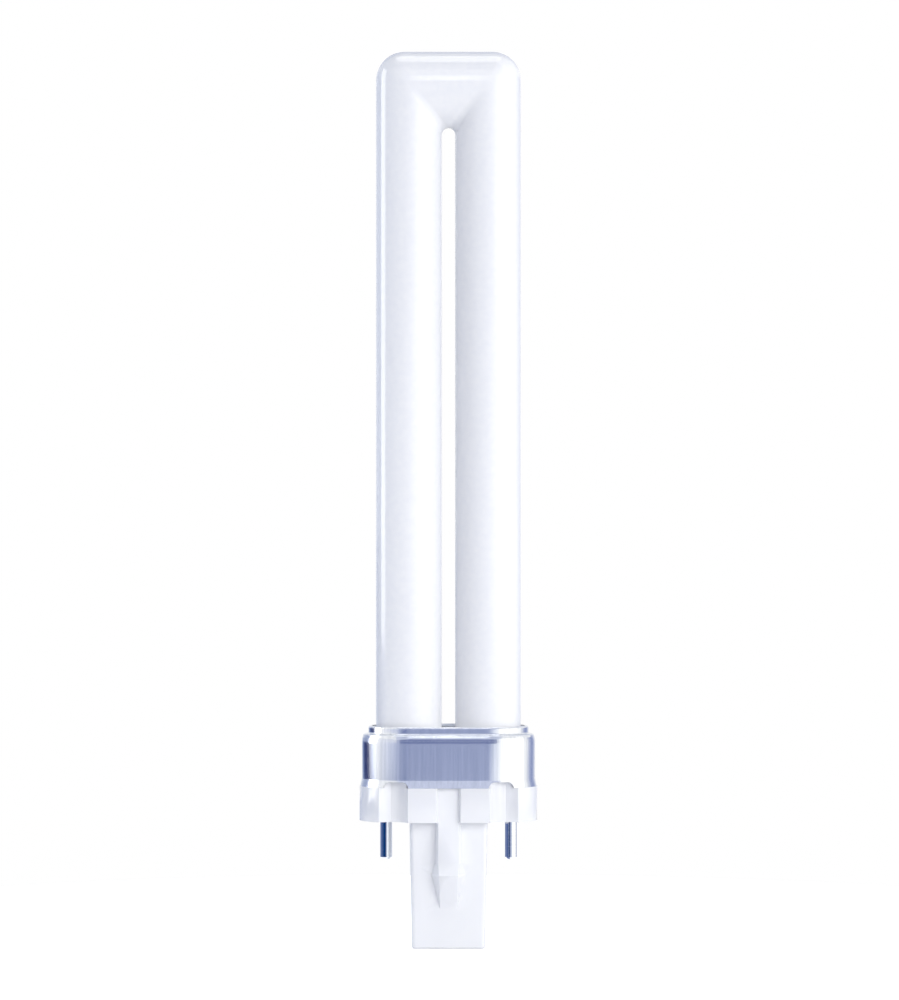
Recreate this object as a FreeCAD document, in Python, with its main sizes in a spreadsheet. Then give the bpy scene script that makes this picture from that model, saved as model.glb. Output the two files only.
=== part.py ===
"""U-shaped compact fluorescent lamp on a two-pin plug-in cap, with its starter inside the plug post.

The lamp stands upright: Z runs along the glass, X across the two contact pins and -Y is the front.
The origin is the centre of the post's flat end. All sizes are in millimetres.
"""
import FreeCAD, Part
import math
import os
import Sketcher

VECTOR = FreeCAD.Vector

SIZES = [
    # the blown and bent glass
    ("lamp_height", 165.0),
    ("tube_diameter", 12.2),
    ("tube_wall", 1.0),
    ("tube_gap", 2.4),
    ("bridge_height", 14.1),
    ("keel_radius", 3.5),
    ("corner_radius", 4.8),
    ("glass_foot", 33.0),
    ("foot_rounding", 2.6),
    ("seal_length", 3.2),
    ("seal_width", 7.0),
    ("seal_thickness", 2.6),
    # the moulded base: plug post, flange and spigot
    ("post_height", 23.3),
    ("post_width", 14.3),
    ("post_depth", 12.6),
    ("post_draft", 1.06),
    ("post_edge", 0.8),
    ("post_foot_edge", 0.45),
    ("base_wall", 1.2),
    ("flange_overhang", 0.4),
    ("flange_height", 6.3),
    ("flange_floor", 1.8),
    ("spigot_height", 4.6),
    ("cavity_depth", 10.0),
    # the keyway strip and latch tooth on the post's front and back
    ("strip_width", 3.75),
    ("strip_reach", 8.1),
    ("flank_draft", 17.0),
    ("tooth_width", 3.5),
    ("tooth_draft", 25.0),
    ("tooth_foot_width", 3.0),
    ("tooth_reach", 9.2),
    ("tooth_start", 15.9),
    ("tooth_peak", 13.65),
    ("tooth_end", 7.25),
    # the four finger recesses in the flange
    ("recess_inner", 7.45),
    ("recess_outer", 12.75),
    ("recess_valley", 10.5),
    ("recess_floor", 6.2),
    ("recess_ridge", 7.36),
    ("recess_corner", 9.0),
    ("recess_sweep", 5.1),
    # the drawn aluminium collar, which stands off the glass by a margin at its ends and at its front
    ("end_margin", 2.6),
    ("front_margin", 2.75),
    ("collar_sheet", 0.5),
    ("collar_height", 9.7),
    ("shoulder_radius", 0.8),
    ("rim_step", 1.2),
    ("rim_height", 1.4),
    ("rim_radius", 0.4),
    ("rim_curl", 0.7),
    ("step_radius", 0.3),
    ("lip_flare", 0.3),
    ("lip_height", 1.4),
    ("notch_place", 9.65),
    ("notch_width", 4.6),
    ("notch_crown", 2.7),
    ("notch_height", 1.1),
    ("notch_corner", 1.2),
    # the contact pins
    ("pin_spacing", 23.0),
    ("pin_diameter", 2.2),
    ("pin_reach", 7.2),
    ("pin_tip", 0.35),
    ("pin_root_width", 2.6),
    ("pin_head_width", 3.2),
    ("pin_head_height", 0.6),
    ("boss_height", 1.2),
    ("boss_wall", 0.9),
    # the capping cement
    ("cement_dip", 0.7),
    ("cement_edge", 0.6),
    # the glow starter and its capacitor
    ("starter_place", -1.9),
    ("starter_diameter", 6.8),
    ("starter_height", 17.0),
    ("starter_rounding", 2.4),
    ("starter_neck", 2.4),
    ("starter_neck_width", 4.2),
    ("lead_pitch", 2.4),
    ("lead_reach", 3.6),
    ("capacitor_place", 3.5),
    ("capacitor_foot", 8.5),
    ("capacitor_width", 2.6),
    ("capacitor_depth", 6.4),
    ("capacitor_height", 7.5),
    ("capacitor_edge", 0.6),
    # the wires and the play left between pieces
    ("wire_diameter", 0.5),
    ("wire_bend", 0.9),
    ("wire_start", 0.9),
    ("seal_wire_pitch", 3.6),
    ("fit_clearance", 0.1),
    ("press_clearance", 0.02),
]
FITTED_SIZES = [
    ("collar_length", "=2 * tube_diameter + tube_gap + 2 * end_margin"),
    ("collar_depth", "=tube_diameter + 2 * front_margin"),
    ("flange_length", "=collar_length + 2 * flange_overhang"),
    ("flange_depth", "=collar_depth + 2 * flange_overhang"),
]
NEAR = 1e-3

doc = FreeCAD.newDocument("fluorescent_lamp")
sheet = doc.addObject("Spreadsheet::Sheet", "Sizes")
for row, (alias, content) in enumerate(SIZES + FITTED_SIZES, start=1):
    sheet.set("A%d" % row, alias)
    sheet.set("B%d" % row, str(content))
    sheet.setAlias("B%d" % row, alias)
doc.recompute()


def size(expression):
    """The present value, in millimetres, of an expression of the sheet's sizes."""
    return sheet.evalExpression(expression)


def bind(item, **expressions):
    """Tie properties of an object to expressions; a double underscore stands for a dot."""
    for name, expression in expressions.items():
        item.setExpression(name.replace("__", "."), expression)


def new_body(label):
    """An empty body that carries the name of its sub-part."""
    body = doc.addObject("PartDesign::Body", label)
    body.Label = label
    return body


def new_sketch(body, name, role, lift="0"):
    """A sketch on one of the body's own origin planes, lifted along that plane's normal."""
    sketch = body.newObject("Sketcher::SketchObject", name)
    plane = [item for item in body.Origin.OriginFeatures if item.Role == role][0]
    sketch.AttachmentSupport = [(plane, "")]
    sketch.MapMode = "FlatFace"
    bind(sketch, AttachmentOffset__Base__z=lift)
    return sketch


def fix(sketch, kind, item, point, expression):
    """Hold one point of a sketch at a distance from the sketch's origin."""
    number = sketch.addConstraint(Sketcher.Constraint(kind, -1, 1, item, point, size(expression)))
    sketch.setExpression("Constraints[%d]" % number, expression)


def draw_outline(sketch, corners, arcs=()):
    """A closed outline. Each corner is a pair of expressions; a side named in arcs is a radius and a turn.

    The turn is 1 where the arc's centre lies to the left of the way the outline runs, and -1 to the right.
    """
    bends = dict(arcs)
    first = sketch.GeometryCount
    places = [VECTOR(size(across), size(up), 0) for across, up in corners]
    for side, (start, end) in enumerate(zip(places, places[1:] + places[:1])):
        if side not in bends:
            sketch.addGeometry(Part.LineSegment(start, end))
            continue
        radius, turn = size(bends[side][0]), bends[side][1]
        chord = end - start
        left = VECTOR(-chord.y, chord.x, 0) / chord.Length
        centre = (start + end) / 2 + left * turn * math.sqrt(radius ** 2 - chord.Length ** 2 / 4)
        run = (start, end) if turn > 0 else (end, start)
        angles = [math.atan2(point.y - centre.y, point.x - centre.x) for point in run]
        sketch.addGeometry(Part.ArcOfCircle(Part.Circle(centre, VECTOR(0, 0, 1), radius), *angles))

    def begin(side):
        """Which end of a side's curve is its start along the outline: an arc always runs to the left."""
        return 2 if side in bends and bends[side][1] < 0 else 1

    count = len(corners)
    for side in range(count):
        after = (side + 1) % count
        join = Sketcher.Constraint("Coincident", first + side, 3 - begin(side), first + after, begin(after))
        sketch.addConstraint(join)
    for side, (across, up) in enumerate(corners):
        fix(sketch, "DistanceX", first + side, begin(side), across)
        fix(sketch, "DistanceY", first + side, begin(side), up)
    for side, (radius, _) in bends.items():
        number = sketch.addConstraint(Sketcher.Constraint("Radius", first + side, size(radius)))
        sketch.setExpression("Constraints[%d]" % number, radius)


def draw_circle(sketch, across, up, diameter):
    """A circle about a point of the sketch."""
    centre = VECTOR(size(across), size(up), 0)
    ring = sketch.addGeometry(Part.Circle(centre, VECTOR(0, 0, 1), size(diameter) / 2))
    fix(sketch, "DistanceX", ring, 3, across)
    fix(sketch, "DistanceY", ring, 3, up)
    number = sketch.addConstraint(Sketcher.Constraint("Diameter", ring, size(diameter)))
    sketch.setExpression("Constraints[%d]" % number, diameter)


def draw_stadium(sketch, length, depth):
    """Two straight sides joined by half-round ends, centred on the lamp's axis."""
    radius = size(depth) / 2
    reach = (size(length) - size(depth)) / 2
    quarter = math.pi / 2
    axis = VECTOR(0, 0, 1)
    back = sketch.addGeometry(Part.LineSegment(VECTOR(reach, radius, 0), VECTOR(-reach, radius, 0)))
    left_arc = Part.ArcOfCircle(Part.Circle(VECTOR(-reach, 0, 0), axis, radius), quarter, 3 * quarter)
    left = sketch.addGeometry(left_arc)
    front = sketch.addGeometry(Part.LineSegment(VECTOR(-reach, -radius, 0), VECTOR(reach, -radius, 0)))
    right_arc = Part.ArcOfCircle(Part.Circle(VECTOR(reach, 0, 0), axis, radius), -quarter, quarter)
    right = sketch.addGeometry(right_arc)
    for one, other in ((back, left), (left, front), (front, right), (right, back)):
        sketch.addConstraint(Sketcher.Constraint("Tangent", one, 2, other, 1))
    sketch.addConstraint(Sketcher.Constraint("Horizontal", back))
    sketch.addConstraint(Sketcher.Constraint("Equal", left, right))
    sketch.addConstraint(Sketcher.Constraint("Symmetric", left, 3, right, 3, -1, 1))
    number = sketch.addConstraint(Sketcher.Constraint("Radius", right, radius))
    sketch.setExpression("Constraints[%d]" % number, "(%s) / 2" % depth)
    fix(sketch, "DistanceX", right, 3, "((%s) - (%s)) / 2" % (length, depth))


def pad(body, name, sketch, length, reverse=False, symmetric=False, taper="0"):
    """Adds a sketch's outline to the body as a straight or tapered block."""
    feature = body.newObject("PartDesign::Pad", name)
    feature.Profile = sketch
    feature.Reversed = reverse
    feature.SideType = "Symmetric" if symmetric else "One side"
    bind(feature, Length=length, TaperAngle=taper)
    doc.recompute()
    return feature


def pocket(body, name, sketch, length, reverse=False, symmetric=False, taper="0"):
    """Cuts a sketch's outline out of the body, and makes sure that something was cut."""
    before = body.Shape.Volume
    feature = body.newObject("PartDesign::Pocket", name)
    feature.Profile = sketch
    feature.Reversed = reverse
    feature.SideType = "Symmetric" if symmetric else "One side"
    bind(feature, Length=length, TaperAngle=taper)
    doc.recompute()
    if body.Shape.Volume >= before:
        raise RuntimeError(name + " cuts nothing")
    return feature


def round_edges(body, name, base, radius, chosen):
    """Rounds those edges of a feature that the rule picks."""
    names = ["Edge%d" % (i + 1) for i, edge in enumerate(base.Shape.Edges) if chosen(edge)]
    feature = body.newObject("PartDesign::Fillet", name)
    feature.Base = (base, names)
    bind(feature, Radius=radius)
    doc.recompute()
    return feature


def lies_at(level):
    """A rule that picks the edges lying flat at one height."""
    return lambda edge: abs(edge.BoundBox.ZMin - level) < NEAR and abs(edge.BoundBox.ZMax - level) < NEAR


def is_upright(edge):
    """Picks the edges that climb, a small draft included."""
    return edge.BoundBox.ZLength > 9 * edge.BoundBox.XLength


# Heights that several pieces share, measured from the post's flat end.
SEAT = "Sizes.post_height"
COLLAR_FOOT = SEAT + " + Sizes.flange_height"
SPIGOT_TOP = COLLAR_FOOT + " + Sizes.spigot_height"
BOSS_TOP = SEAT + " + Sizes.flange_floor + Sizes.boss_height"
PIN_TOP = BOSS_TOP + " + Sizes.pin_head_height"
SEAL_END = "Sizes.glass_foot - Sizes.seal_length"
TUBE_PLACE = "(Sizes.tube_diameter + Sizes.tube_gap) / 2"
PAIR_WIDTH = "Sizes.tube_diameter * 2 + Sizes.tube_gap"
BORE_LENGTH = "Sizes.collar_length - Sizes.collar_sheet * 2"
BORE_DEPTH = "Sizes.collar_depth - Sizes.collar_sheet * 2"
STARTER_TOP = "Sizes.base_wall + Sizes.fit_clearance + Sizes.starter_height + Sizes.starter_neck"


def draw_bridge_section(sketch, inset):
    """Egg-shaped section of the bridge: half-round crown, two flatter flanks and a small round keel."""
    half = "Sizes.tube_diameter / 2 - (%s)" % inset
    keel = "Sizes.keel_radius - (%s)" % inset
    centre = "Sizes.lamp_height - Sizes.tube_diameter / 2"
    drop = "Sizes.bridge_height + Sizes.tube_gap / 2 - Sizes.tube_diameter / 2 - (%s)" % inset
    crown_r, keel_r, axis_z, depth = size(half), size(keel), size(centre), size(drop)
    side_r = (crown_r ** 2 + (depth - keel_r) ** 2 - keel_r ** 2) / (2 * (crown_r - keel_r))
    lean = math.atan2(depth - keel_r, side_r - crown_r)
    axis = VECTOR(0, 0, 1)

    def arc(across, up, radius, start, end):
        circle = Part.Circle(VECTOR(across, up, 0), axis, radius)
        return sketch.addGeometry(Part.ArcOfCircle(circle, start, end))

    crown = arc(0, axis_z, crown_r, 0, math.pi)
    left = arc(side_r - crown_r, axis_z, side_r, math.pi, math.pi + lean)
    keel_arc = arc(0, axis_z - depth + keel_r, keel_r, math.pi + lean, 2 * math.pi - lean)
    right = arc(crown_r - side_r, axis_z, side_r, 2 * math.pi - lean, 2 * math.pi)
    for one, other in ((crown, left), (left, keel_arc), (keel_arc, right), (right, crown)):
        sketch.addConstraint(Sketcher.Constraint("Tangent", one, 2, other, 1))
    sketch.addConstraint(Sketcher.Constraint("Horizontal", crown, 1, crown, 3))
    fix(sketch, "DistanceX", crown, 3, "0")
    fix(sketch, "DistanceY", crown, 3, centre)
    fix(sketch, "DistanceX", keel_arc, 3, "0")
    fix(sketch, "DistanceY", keel_arc, 3, "%s - (%s) + (%s)" % (centre, drop, keel))
    for item, radius in ((crown, half), (keel_arc, keel)):
        number = sketch.addConstraint(Sketcher.Constraint("Radius", item, size(radius)))
        sketch.setExpression("Constraints[%d]" % number, radius)


def rectangle(length, depth, across="0", up="0"):
    """The four corners of a rectangle about a point, as expressions."""
    return [("(%s) + %s(%s) / 2" % (across, one, length), "(%s) + %s(%s) / 2" % (up, other, depth))
            for one, other in (("-", "-"), ("", "-"), ("", ""), ("-", ""))]


def reflected(corners, across, up):
    """The same outline in another quarter of the sketch, still drawn the same way round."""
    signed = [("%d * (%s)" % (across, one), "%d * (%s)" % (up, other)) for one, other in corners]
    return signed if across * up > 0 else signed[::-1]


def glass_form(body, inset):
    """The bent tube as a solid: two legs and a bridge whose ends are mitred onto them.

    The bridge is what three prisms share: its egg-shaped section, the pair of legs seen from above, and the
    front outline with its rounded corners and the arch over the slot. The inset gives the bore inside.
    """
    half = "Sizes.tube_diameter / 2 - (%s)" % inset
    width = "%s - 2 * (%s)" % (PAIR_WIDTH, inset)
    centre = "Sizes.lamp_height - Sizes.tube_diameter / 2"
    arch = "Sizes.lamp_height - Sizes.bridge_height - Sizes.tube_gap / 2"
    section = new_sketch(body, body.Name + "_section", "YZ_Plane")
    draw_bridge_section(section, inset)
    pad(body, body.Name + "_bridge", section, width, symmetric=True)

    plan = doc.addObject("PartDesign::Body", body.Name + "_plan")
    middle = new_sketch(plan, plan.Name + "_middle", "XY_Plane")
    draw_outline(middle, rectangle("2 * " + TUBE_PLACE, "2 * Sizes.tube_diameter"))
    pad(plan, plan.Name + "_block", middle, "Sizes.lamp_height")
    ends = new_sketch(plan, plan.Name + "_ends", "XY_Plane")
    for side in ("-", ""):
        draw_circle(ends, side + TUBE_PLACE, "0", "2 * (%s)" % half)
    pad(plan, plan.Name + "_columns", ends, "Sizes.lamp_height")

    front = doc.addObject("PartDesign::Body", body.Name + "_front")
    board = new_sketch(front, front.Name + "_board", "XZ_Plane")
    top = "Sizes.lamp_height - (%s)" % inset
    draw_outline(board, [("-(%s) / 2" % width, "0"), ("(%s) / 2" % width, "0"),
                         ("(%s) / 2" % width, top), ("-(%s) / 2" % width, top)])
    block = pad(front, front.Name + "_block", board, "2 * Sizes.tube_diameter", symmetric=True)
    limit = size(top) - NEAR
    round_edges(front, front.Name + "_corners", block, "Sizes.corner_radius - (%s)" % inset,
                lambda edge: edge.BoundBox.ZMin > limit and edge.BoundBox.YLength > edge.BoundBox.XLength)
    gap = "Sizes.tube_gap + 2 * (%s)" % inset
    crown = new_sketch(front, front.Name + "_arch", "XZ_Plane")
    draw_circle(crown, "0", arch, gap)
    pocket(front, front.Name + "_arch_cut", crown, "2 * Sizes.tube_diameter", symmetric=True)
    slot = new_sketch(front, front.Name + "_slot", "XZ_Plane")
    draw_outline(slot, rectangle(gap, arch, up="(%s) / 2" % arch))
    pocket(front, front.Name + "_slot_cut", slot, "2 * Sizes.tube_diameter", symmetric=True)

    for limit_body in (plan, front):
        shared = body.newObject("PartDesign::Boolean", limit_body.Name + "_limit")
        shared.setObjects([limit_body])
        shared.Type = "Common"
        doc.recompute()
    legs = new_sketch(body, body.Name + "_legs", "XY_Plane", "Sizes.glass_foot + (%s)" % inset)
    for side in ("-", ""):
        draw_circle(legs, side + TUBE_PLACE, "0", "2 * (%s)" % half)
    return pad(body, body.Name + "_leg_pad", legs, "%s - Sizes.glass_foot - (%s)" % (centre, inset))


def discharge_tube():
    """The U-shaped glass: one tube with mitred bridge, pressed seals at its two feet and a hollow bore."""
    body = new_body("discharge_tube")
    legs = glass_form(body, "0")
    foot = size("Sizes.glass_foot")
    round_edges(body, "glass_feet", legs, "Sizes.foot_rounding", lies_at(foot))
    seals = new_sketch(body, "glass_seals", "XY_Plane", "Sizes.glass_foot + Sizes.tube_wall")
    for side in ("-", ""):
        draw_outline(seals, rectangle("Sizes.seal_width", "Sizes.seal_thickness", across=side + TUBE_PLACE))
    pad(body, "glass_seal_pad", seals, "Sizes.seal_length + Sizes.tube_wall", reverse=True)
    bore = new_body("discharge_bore")
    legs = glass_form(bore, "Sizes.tube_wall")
    round_edges(bore, "bore_feet", legs, "Sizes.foot_rounding - Sizes.tube_wall",
                lies_at(foot + size("Sizes.tube_wall")))
    hollow = body.newObject("PartDesign::Boolean", "glass_bore")
    hollow.setObjects([bore])
    hollow.Type = "Cut"
    doc.recompute()
    return body


def cap_collar():
    """The drawn aluminium collar: stepped rim above, flared lip and four notches below, open at both ends."""
    body = new_body("cap_collar")
    lip = new_sketch(body, "collar_lip", "XY_Plane")
    draw_stadium(lip, "Sizes.collar_length + 2 * Sizes.lip_flare", "Sizes.collar_depth + 2 * Sizes.lip_flare")
    pad(body, "collar_lip_pad", lip, "Sizes.lip_height", taper="-atan(Sizes.lip_flare / Sizes.lip_height)")
    wall = new_sketch(body, "collar_wall", "XY_Plane", "Sizes.lip_height")
    draw_stadium(wall, "Sizes.collar_length", "Sizes.collar_depth")
    pad(body, "collar_wall_pad", wall, "Sizes.collar_height - Sizes.lip_height")
    rim = new_sketch(body, "collar_rim", "XY_Plane", "Sizes.collar_height")
    draw_stadium(rim, "Sizes.collar_length - 2 * Sizes.rim_step", "Sizes.collar_depth - 2 * Sizes.rim_step")
    rim_pad = pad(body, "collar_rim_pad", rim, "Sizes.rim_height")
    shoulder = size("Sizes.collar_height")
    wide = size("Sizes.collar_depth / 2 - Sizes.rim_step / 2")
    at_shoulder = lies_at(shoulder)

    def on_wall(edge):
        return at_shoulder(edge) and max(-edge.BoundBox.YMin, edge.BoundBox.YMax) > wide

    def on_rim(edge):
        return at_shoulder(edge) and not on_wall(edge)

    rounded = round_edges(body, "collar_shoulder", rim_pad, "Sizes.shoulder_radius", on_wall)
    stepped = round_edges(body, "collar_step", rounded, "Sizes.step_radius", on_rim)
    rim_top = size("Sizes.collar_height + Sizes.rim_height")
    round_edges(body, "collar_rim_edge", stepped, "Sizes.rim_radius", lies_at(rim_top))
    flare = new_sketch(body, "bore_flare", "XY_Plane")
    draw_stadium(flare, BORE_LENGTH + " + 2 * Sizes.lip_flare", BORE_DEPTH + " + 2 * Sizes.lip_flare")
    pocket(body, "bore_flare_cut", flare, "Sizes.lip_height", reverse=True,
           taper="-atan(Sizes.lip_flare / Sizes.lip_height)")
    bore = new_sketch(body, "bore", "XY_Plane")
    draw_stadium(bore, BORE_LENGTH, BORE_DEPTH)
    pocket(body, "bore_cut", bore, "Sizes.collar_height - Sizes.collar_sheet", reverse=True)
    neck = new_sketch(body, "neck", "XY_Plane")
    draw_stadium(neck, BORE_LENGTH + " - 2 * Sizes.rim_step", BORE_DEPTH + " - 2 * Sizes.rim_step")
    pocket(body, "neck_cut", neck, "Sizes.collar_height + Sizes.rim_height - Sizes.collar_sheet",
           reverse=True)
    mouth = new_sketch(body, "mouth", "XY_Plane")
    inward = " - 2 * Sizes.rim_step - 2 * Sizes.rim_curl"
    draw_stadium(mouth, "Sizes.collar_length" + inward, "Sizes.collar_depth" + inward)
    pocket(body, "mouth_cut", mouth, "2 * Sizes.collar_height", reverse=True)
    notches = new_sketch(body, "collar_notches", "XZ_Plane")
    low = "-Sizes.notch_height"
    for side in ("-", ""):
        place = side + "Sizes.notch_place"
        draw_outline(notches, [(place + " - Sizes.notch_width / 2", low),
                               (place + " + Sizes.notch_width / 2", low),
                               (place + " + Sizes.notch_width / 2", "0"),
                               (place + " + Sizes.notch_crown / 2", "Sizes.notch_height"),
                               (place + " - Sizes.notch_crown / 2", "Sizes.notch_height"),
                               (place + " - Sizes.notch_width / 2", "0")],
                     [(2, ("Sizes.notch_corner", 1)), (4, ("Sizes.notch_corner", 1))])
    pocket(body, "collar_notch_cut", notches, "2 * Sizes.collar_depth", symmetric=True)
    bind(body, Placement__Base__z=COLLAR_FOOT)
    return body


def plug_post(body):
    """The drafted post that enters the lampholder, from the seat at height nought down to its flat end."""
    outline = new_sketch(body, "post", "XY_Plane")
    draw_outline(outline, rectangle("Sizes.post_width", "Sizes.post_depth"))
    post = pad(body, "post_pad", outline, SEAT, reverse=True, taper="-Sizes.post_draft")
    corners = round_edges(body, "post_edges", post, "Sizes.post_edge", is_upright)
    round_edges(body, "post_foot_edges", corners, "Sizes.post_foot_edge", lies_at(-size(SEAT)))


def finger_recess(body, number, across, up):
    """One of the four scoops in the flange: a straight outer flank and an inner one that sweeps to the front."""
    scoop = [("Sizes.recess_inner", "Sizes.recess_corner"), ("Sizes.recess_inner", "Sizes.flange_depth"),
             ("Sizes.recess_outer", "Sizes.flange_depth"), ("Sizes.recess_outer", "Sizes.recess_ridge"),
             ("Sizes.recess_valley", "Sizes.recess_floor")]
    recess = new_sketch(body, "recess_%d" % number, "XY_Plane")
    draw_outline(recess, reflected(scoop, across, up), [(4, ("Sizes.recess_sweep", -1))])
    pocket(body, "recess_cut_%d" % number, recess, "Sizes.flange_height + Sizes.notch_height", reverse=True)


def draw_flared(sketch, side, width, reach, far, draft):
    """A trapezoid as wide as asked at its reach from the lamp's axis; its flanks spread to the far side."""
    wider = "(%s) + 2 * abs((%s) - (%s)) * tan(%s)" % (width, far, reach, draft)
    corners = [("-(%s) / 2" % width, reach), ("-(%s) / 2" % wider, far),
               ("(%s) / 2" % wider, far), ("(%s) / 2" % width, reach)]
    draw_outline(sketch, reflected(corners, 1, side))


def key_and_tooth(body, name, side):
    """A key strip down the post's face with the latch tooth below it, in a groove across the flange's edge."""
    groove = new_sketch(body, "groove_" + name, "XY_Plane")
    draw_flared(groove, side, "Sizes.strip_width", "Sizes.strip_reach", "Sizes.flange_depth",
                "Sizes.flank_draft")
    pocket(body, "groove_cut_" + name, groove, "Sizes.flange_height", reverse=True)

    root = "(Sizes.post_depth / 2 - Sizes.base_wall)"
    tip = "(Sizes.post_depth / 2 - (%s - Sizes.tooth_end) * tan(Sizes.post_draft))" % SEAT
    ramp = "(Sizes.tooth_peak - Sizes.tooth_end) / (Sizes.tooth_reach - %s)" % tip
    sunk = "Sizes.base_wall / 2"
    strip = ("Sizes.strip_width", "Sizes.strip_reach", "Sizes.flank_draft")
    tooth = ("Sizes.tooth_width", "Sizes.tooth_reach", "Sizes.tooth_draft")
    foot = ("Sizes.tooth_foot_width", tip + " - " + sunk, "Sizes.flank_draft")
    steps = [("0", strip), ("Sizes.tooth_start - " + SEAT, strip), ("Sizes.tooth_peak - " + SEAT, tooth),
             ("Sizes.tooth_end - %s - %s * %s" % (SEAT, sunk, ramp), foot)]
    sections = []
    for number, (level, (width, reach, draft)) in enumerate(steps):
        section = new_sketch(body, "%s_section_%d" % (name, number), "XY_Plane", level)
        draw_flared(section, side, width, reach, root, draft)
        sections.append(section)
    doc.recompute()
    loft = body.newObject("PartDesign::AdditiveLoft", "key_" + name)
    loft.Profile = sections[0]
    loft.Sections = sections[1:]
    loft.Ruled = True
    doc.recompute()


def base_housing():
    """The white moulded base: flange with finger recesses, hollow plug post, key strips and latch teeth.

    It is drawn with its seat, the flange's underside, at height nought, and then lifted onto the post's height.
    """
    body = new_body("base_housing")
    plug_post(body)
    flange = new_sketch(body, "flange", "XY_Plane")
    draw_stadium(flange, "Sizes.flange_length", "Sizes.flange_depth")
    pad(body, "flange_pad", flange, "Sizes.flange_height")
    spigot = new_sketch(body, "spigot", "XY_Plane", "Sizes.flange_height")
    play = " - 2 * Sizes.fit_clearance"
    draw_stadium(spigot, BORE_LENGTH + play, BORE_DEPTH + play)
    pad(body, "spigot_pad", spigot, "Sizes.spigot_height")
    for number, (across, up) in enumerate([(1, 1), (1, -1), (-1, -1), (-1, 1)]):
        finger_recess(body, number, across, up)
    key_and_tooth(body, "back", 1)
    key_and_tooth(body, "front", -1)

    top = "Sizes.flange_height + Sizes.spigot_height"
    thin = " - 2 * Sizes.base_wall"
    well = new_sketch(body, "well", "XY_Plane", top)
    draw_stadium(well, BORE_LENGTH + play + thin, BORE_DEPTH + play + thin)
    pocket(body, "well_cut", well, "Sizes.spigot_height - Sizes.base_wall")
    chamber = new_sketch(body, "chamber", "XY_Plane", top)
    draw_stadium(chamber, BORE_LENGTH + play + thin, "Sizes.cavity_depth")
    pocket(body, "chamber_cut", chamber, top + " - Sizes.flange_floor")
    shaft = new_sketch(body, "shaft", "XY_Plane", "Sizes.flange_floor")
    draw_outline(shaft, rectangle("Sizes.post_width" + thin, "Sizes.post_depth" + thin))
    pocket(body, "shaft_cut", shaft, "Sizes.flange_floor + %s - Sizes.base_wall" % SEAT,
           taper="-Sizes.post_draft")

    bosses = new_sketch(body, "bosses", "XY_Plane", "Sizes.flange_floor")
    holes = new_sketch(body, "pin_holes", "XY_Plane", "Sizes.flange_floor + Sizes.boss_height")
    for side in ("-", ""):
        draw_circle(bosses, side + "Sizes.pin_spacing / 2", "0", "Sizes.pin_root_width + 2 * Sizes.boss_wall")
        draw_circle(holes, side + "Sizes.pin_spacing / 2", "0",
                    "Sizes.pin_root_width + 2 * Sizes.press_clearance")
    pad(body, "boss_pad", bosses, "Sizes.boss_height")
    pocket(body, "pin_hole_cut", holes, "Sizes.flange_height + Sizes.spigot_height")
    bind(body, Placement__Base__z=SEAT)
    return body


def contact_pin(label, side):
    """A turned contact pin: chamfered tip below, thicker root through the flange, flat head on its boss."""
    body = new_body(label)
    turned = new_sketch(body, label + "_profile", "XZ_Plane")
    radius = "Sizes.pin_diameter / 2"
    shank = "Sizes.pin_reach + Sizes.flange_floor + Sizes.boss_height"
    draw_outline(turned, [("0", "0"), (radius + " - Sizes.pin_tip", "0"), (radius, "Sizes.pin_tip"),
                          (radius, "Sizes.pin_reach"), ("Sizes.pin_root_width / 2", "Sizes.pin_reach"),
                          ("Sizes.pin_root_width / 2", shank), ("Sizes.pin_head_width / 2", shank),
                          ("Sizes.pin_head_width / 2", shank + " + Sizes.pin_head_height"),
                          ("0", shank + " + Sizes.pin_head_height")])
    turn = body.newObject("PartDesign::Revolution", label + "_turned")
    turn.Profile = turned
    turn.ReferenceAxis = (turned, ["V_Axis"])
    turn.Angle = 360
    bind(body, Placement__Base__x="%d * Sizes.pin_spacing / 2" % side,
         Placement__Base__z=SEAT + " - Sizes.pin_reach")
    return body


def capping_cement():
    """The set cement that fills the collar round the two glass legs, a little below the rim."""
    body = new_body("capping_cement")
    play = " - 2 * Sizes.fit_clearance"
    lower = new_sketch(body, "cement_lower", "XY_Plane")
    draw_stadium(lower, BORE_LENGTH + play, BORE_DEPTH + play)
    height = "Sizes.collar_height - Sizes.collar_sheet - Sizes.spigot_height - Sizes.fit_clearance * 2"
    block = pad(body, "cement_block", lower, height)
    round_edges(body, "cement_edges", block, "Sizes.cement_edge", lies_at(size(height)))
    upper = new_sketch(body, "cement_upper", "XY_Plane")
    play += " - 2 * Sizes.rim_step"
    draw_stadium(upper, BORE_LENGTH + play, BORE_DEPTH + play)
    foot = "Sizes.spigot_height - Sizes.fit_clearance"
    pad(body, "cement_top", upper, "Sizes.collar_height + Sizes.rim_height - Sizes.cement_dip - " + foot)
    holes = new_sketch(body, "glass_holes", "XY_Plane")
    for side in ("-", ""):
        draw_circle(holes, side + TUBE_PLACE, "0", "Sizes.tube_diameter + 2 * Sizes.press_clearance")
    pocket(body, "glass_hole_cut", holes, "2 * Sizes.collar_height", reverse=True)
    bind(body, Placement__Base__z=SPIGOT_TOP + " + Sizes.fit_clearance")
    return body


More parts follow.
